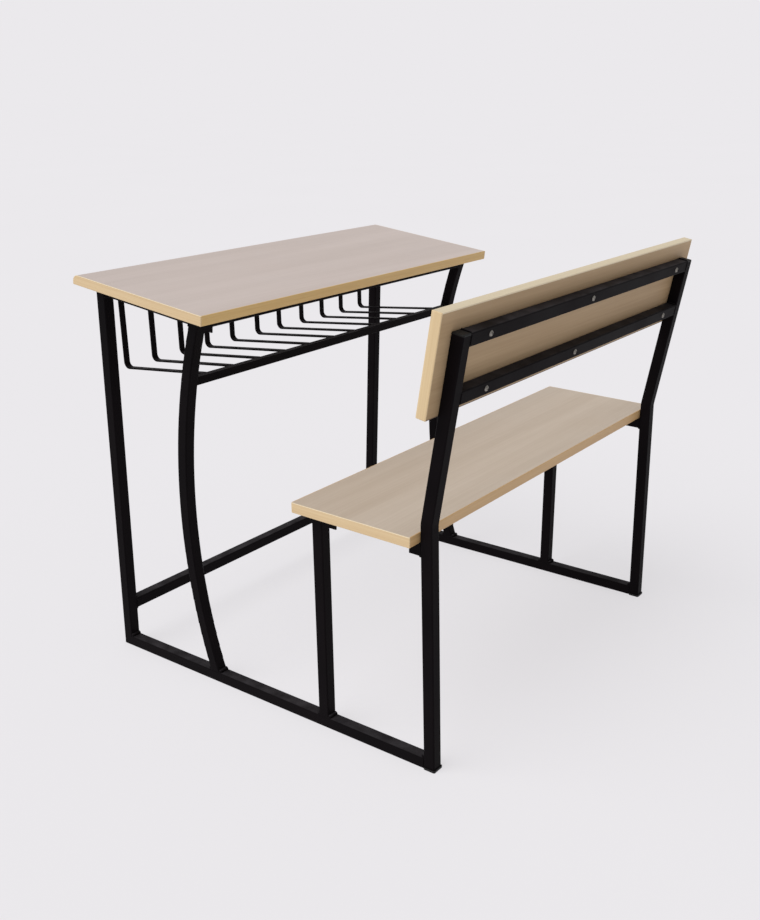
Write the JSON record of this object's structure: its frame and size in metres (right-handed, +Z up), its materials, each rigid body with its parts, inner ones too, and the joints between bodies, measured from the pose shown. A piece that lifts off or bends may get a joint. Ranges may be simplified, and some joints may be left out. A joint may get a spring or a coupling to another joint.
{
  "type": "school desk with bench",
  "caption": "School desk with an attached bench: sloping desktop, flat seat and leaning backrest on a dark square-tube frame, with a basket of bent strips under the desktop.",
  "frame": {"origin": "centre of the object's outline on the floor", "axes": "+X towards the seated pupil's right, +Y from the bench towards the desk, +Z up"},
  "size_m": [0.908, 0.8326, 0.797],
  "materials": {
    "frame_paint": "near-black semi-matte powder coat",
    "laminate": "greyish beige laminate with a faint straight grain, on particle board",
    "edge_band": "pale yellowish wood-look edging",
    "black_plastic": "matte black moulded",
    "screw_steel": "bright zinc-plated"
  },
  "bodies": {
    "root": {"desktop_board": "laminate", "desktop_band_left": "edge_band", "desktop_band_right": "edge_band", "desktop_band_rear": "edge_band", "desktop_lipping_front": "laminate", "seat_board": "laminate", "seat_band_left": "edge_band", "seat_band_right": "edge_band", "seat_band_rear": "edge_band", "seat_band_front": "edge_band", "backrest_board": "laminate", "backrest_band_left": "edge_band", "backrest_band_right": "edge_band", "backrest_band_bottom": "edge_band", "backrest_band_top": "edge_band", "base_rail_left": "frame_paint", "base_rail_right": "frame_paint", "front_leg_left": "frame_paint", "front_leg_right": "frame_paint", "curved_leg_left": "frame_paint", "curved_leg_right": "frame_paint", "bench_leg_left": "frame_paint", "bench_leg_right": "frame_paint", "rear_post_left": "frame_paint", "rear_post_right": "frame_paint", "desk_side_rail_left": "frame_paint", "desk_side_rail_right": "frame_paint", "seat_front_cleat_left": "frame_paint", "seat_front_cleat_right": "frame_paint", "seat_rear_cleat_left": "frame_paint", "seat_rear_cleat_right": "frame_paint", "desk_cleat_left": "frame_paint", "foot_stretcher": "frame_paint", "basket_rail": "frame_paint", "desk_rear_rail": "frame_paint", "desk_front_rail": "frame_paint", "backrest_upper_rail": "frame_paint", "backrest_lower_rail": "frame_paint", "basket_strip_01": "frame_paint", "basket_strip_02": "frame_paint", "basket_strip_03": "frame_paint", "basket_strip_04": "frame_paint", "basket_strip_05": "frame_paint", "basket_strip_06": "frame_paint", "basket_strip_07": "frame_paint", "basket_strip_08": "frame_paint", "basket_strip_09": "frame_paint", "basket_strip_10": "frame_paint", "basket_strip_11": "frame_paint", "post_cap_left": "black_plastic", "post_cap_right": "black_plastic", "foot_plug_left": "black_plastic", "foot_plug_right": "black_plastic", "backrest_bolts": "screw_steel", "seat_screws": "screw_steel", "desktop_screws": "screw_steel"}
  },
  "joints": []
}
